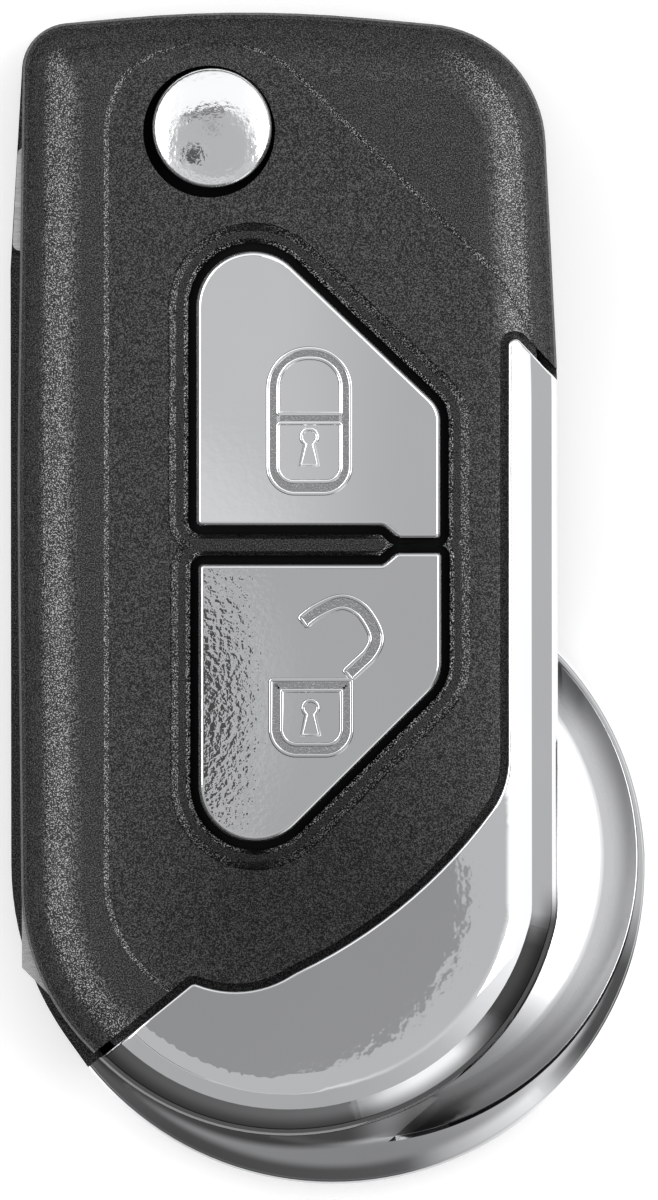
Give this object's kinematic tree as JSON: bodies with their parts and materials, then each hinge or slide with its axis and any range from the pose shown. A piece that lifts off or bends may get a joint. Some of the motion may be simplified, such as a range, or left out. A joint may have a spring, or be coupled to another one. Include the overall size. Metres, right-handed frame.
{
  "type": "key fob shell",
  "caption": "Folding key fob shell in grained black plastic with a chrome bezel, a dished chrome collar, padlock buttons, a domed release button and a blade that flips out on its hub",
  "frame": {"origin": "point where the swing axis of the blade, which is also the axis of the round release button, meets the flat back", "axes": "+Z out of the front face, +Y along the length to the end with the release button, +X to the side with the chrome bezel"},
  "size_m": [0.0435, 0.0801, 0.0156],
  "materials": {
    "shell": "black, fine grain with a faint sparkle",
    "shell_back": "black, fine grain",
    "bezel": "mirror",
    "collar": "mirror",
    "lock_cap": "mirror",
    "unlock_cap": "mirror",
    "release_cap": "mirror",
    "hub_metal": "satin",
    "blade_steel": "satin",
    "pin_steel": "satin",
    "spring_steel": "bright",
    "silicone": "milky silicone",
    "switch_case": "stamped",
    "board_laminate": "green solder mask",
    "chip_case": "moulded",
    "cell_steel": "satin",
    "carrier_plastic": "moulded",
    "contact_metal": "bright",
    "transponder_case": "moulded",
    "screw_steel": "blackened"
  },
  "bodies": {
    "housing": {"front_cover": "shell", "back_cover": "shell_back", "front_trim": "bezel", "rear_collar": "collar", "circuit_board": "board_laminate", "lock_switch": "switch_case", "unlock_switch": "switch_case", "control_chip": "chip_case", "coin_cell": "cell_steel", "positive_contact": "contact_metal", "negative_contact": "contact_metal", "board_carrier": "carrier_plastic", "transponder_chip": "transponder_case", "case_screws": "screw_steel", "lock_dome": "silicone", "unlock_dome": "silicone"},
    "hub": {"blade_hub": "hub_metal", "key_blade": "blade_steel", "blade_pin": "pin_steel", "flip_spring": "spring_steel"},
    "release": {"release_button": "release_cap"},
    "lock": {"lock_button": "lock_cap"},
    "unlock": {"unlock_button": "unlock_cap"}
  },
  "joints": [
    {"name": "blade_flip", "type": "hinge", "parent": "housing", "child": "hub", "pos_m": [0, 0, 0.0075], "axis": [0, 0, -1], "range_deg": [0, 180]},
    {"name": "release_press", "type": "slide", "parent": "hub", "child": "release", "axis": [0, 0, -1], "range_m": [0, 0.002], "stiffness_N_per_m": 600, "springref_m": -0.0015, "deforming": ["flip_spring"]},
    {"name": "lock_press", "type": "slide", "parent": "housing", "child": "lock", "axis": [0, 0, -1], "range_m": [0, 0.0005], "stiffness_N_per_m": 2500, "springref_m": -0.0002, "deforming": ["lock_dome"]},
    {"name": "unlock_press", "type": "slide", "parent": "housing", "child": "unlock", "axis": [0, 0, -1], "range_m": [0, 0.0005], "stiffness_N_per_m": 2500, "springref_m": -0.0002, "deforming": ["unlock_dome"]}
  ]
}
